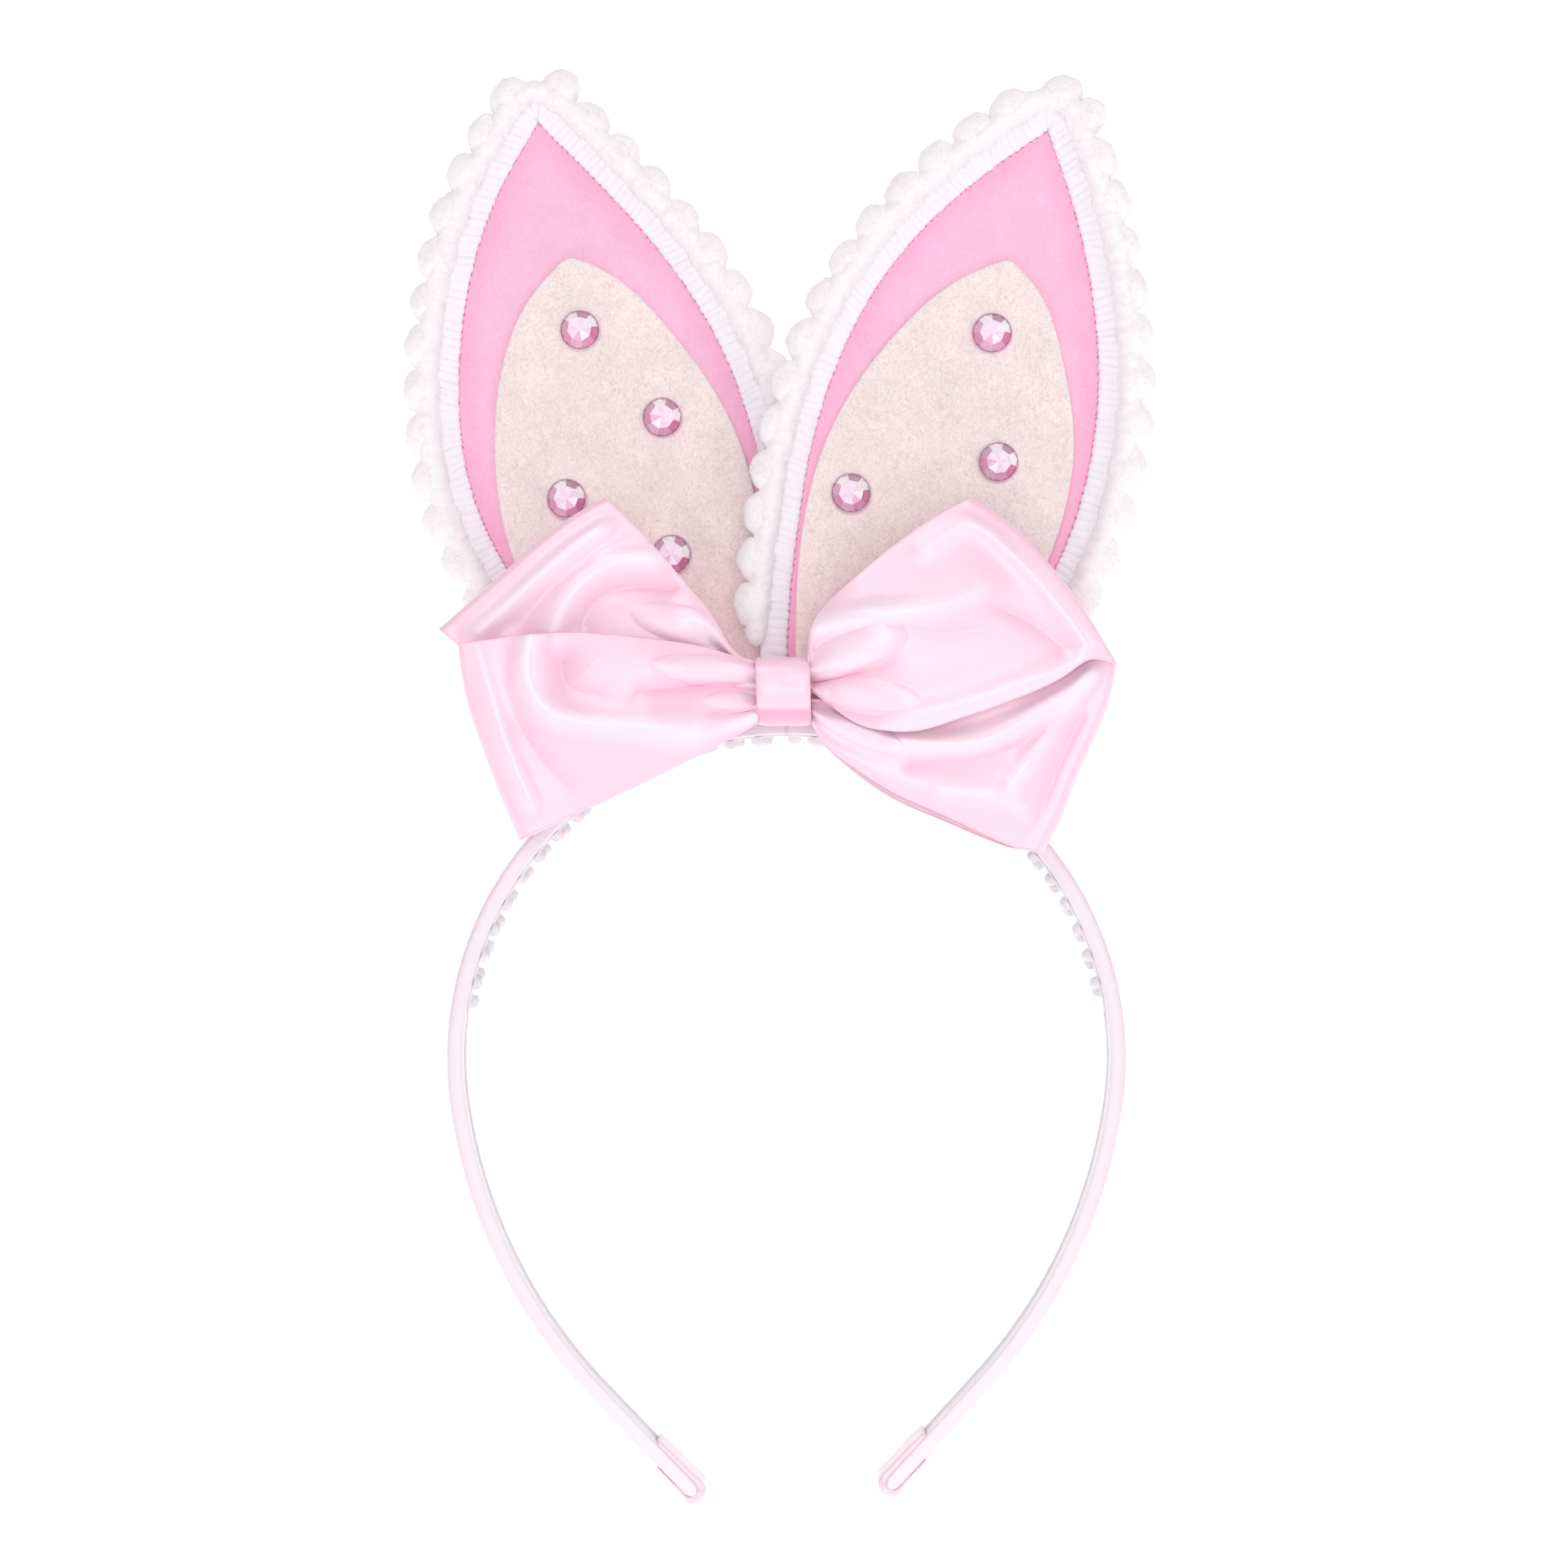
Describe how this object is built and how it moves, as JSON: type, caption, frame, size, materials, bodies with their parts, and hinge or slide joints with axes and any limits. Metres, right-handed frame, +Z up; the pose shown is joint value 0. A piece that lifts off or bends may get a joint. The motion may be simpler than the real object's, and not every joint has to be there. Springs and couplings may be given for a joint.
{
  "type": "bunny ears headband",
  "caption": "Dress-up headband: springy horseshoe hoop with an inner comb, tall felt bunny ears edged with pompoms, faceted stones and a satin ribbon bow.",
  "frame": {"origin": "inner face of the hoop at the middle of the crown, where the hoop rests on a head", "axes": "+Z up through the ears, +X to the viewer's right with the bow towards the viewer, +Y to the rear"},
  "size_m": [0.1473, 0.0273, 0.2797],
  "materials": {
    "band_core": "moulded, hidden under the cover except inside",
    "cover_satin": "satin, smooth",
    "comb_plastic": "clear-white moulded",
    "tab_satin": "satin, smooth",
    "pink_felt": "felt",
    "pale_felt": "short-napped felt, softly mottled",
    "stiffener_sheet": "plain sheet",
    "braid": "gathered ribbed braid",
    "pompom": "fluffy yarn",
    "stone": "faceted, foil-backed",
    "bow_satin": "satin, glossy",
    "thread": "twisted thread",
    "hot_glue": "smooth, slightly cloudy"
  },
  "bodies": {
    "crown": {"hoop_crown": "band_core", "hoop_cover_crown": "cover_satin", "comb_crown": "comb_plastic", "crown_felt_saddle": "pink_felt", "bow_front_ribbon": "bow_satin", "bow_rear_ribbon": "bow_satin", "bow_centre_wrap": "bow_satin", "bow_tie_thread": "thread", "bow_glue_pad": "hot_glue", "ear_left_foot": "pink_felt", "ear_right_foot": "pink_felt", "glue_bead_left": "hot_glue", "glue_bead_right": "hot_glue"},
    "arm_left": {"hoop_arm_left": "band_core", "hoop_cover_arm_left": "cover_satin", "comb_arm_left": "comb_plastic", "tip_tab_left": "tab_satin"},
    "ear_left": {"ear_left_back_felt": "pink_felt", "ear_left_stiffener": "stiffener_sheet", "ear_left_front_felt": "pink_felt", "ear_left_inner_felt": "pale_felt", "ear_left_braid": "braid", "ear_left_pompoms": "pompom", "ear_left_stone_1": "stone", "ear_left_stone_2": "stone", "ear_left_stone_3": "stone", "ear_left_stone_4": "stone"},
    "arm_right": {"hoop_arm_right": "band_core", "hoop_cover_arm_right": "cover_satin", "comb_arm_right": "comb_plastic", "tip_tab_right": "tab_satin"},
    "ear_right": {"ear_right_back_felt": "pink_felt", "ear_right_stiffener": "stiffener_sheet", "ear_right_front_felt": "pink_felt", "ear_right_inner_felt": "pale_felt", "ear_right_braid": "braid", "ear_right_pompoms": "pompom", "ear_right_stone_1": "stone", "ear_right_stone_2": "stone", "ear_right_stone_3": "stone"}
  },
  "joints": [
    {"name": "flex_left", "type": "hinge", "parent": "crown", "child": "arm_left", "pos_m": [-0.03691, 0, -0.00818], "axis": [0, 1, 0], "range_deg": [-3, 18], "stiffness_Nm_per_rad": 0.9},
    {"name": "flex_right", "type": "hinge", "parent": "crown", "child": "arm_right", "pos_m": [0.03691, 0, -0.00818], "axis": [0, -1, 0], "range_deg": [-3, 18], "stiffness_Nm_per_rad": 0.9},
    {"name": "lean_left", "type": "hinge", "parent": "crown", "child": "ear_left", "pos_m": [0, -0.0004, 0.007], "axis": [-1, 0, 0], "range_deg": [0, 22], "stiffness_Nm_per_rad": 0.12},
    {"name": "lean_right", "type": "hinge", "parent": "crown", "child": "ear_right", "pos_m": [0, -0.0004, 0.007], "axis": [-1, 0, 0], "range_deg": [0, 22], "stiffness_Nm_per_rad": 0.12}
  ],
  "couplings": [
    {"joint": "lean_right", "follows": "lean_left", "ratio": 1}
  ]
}
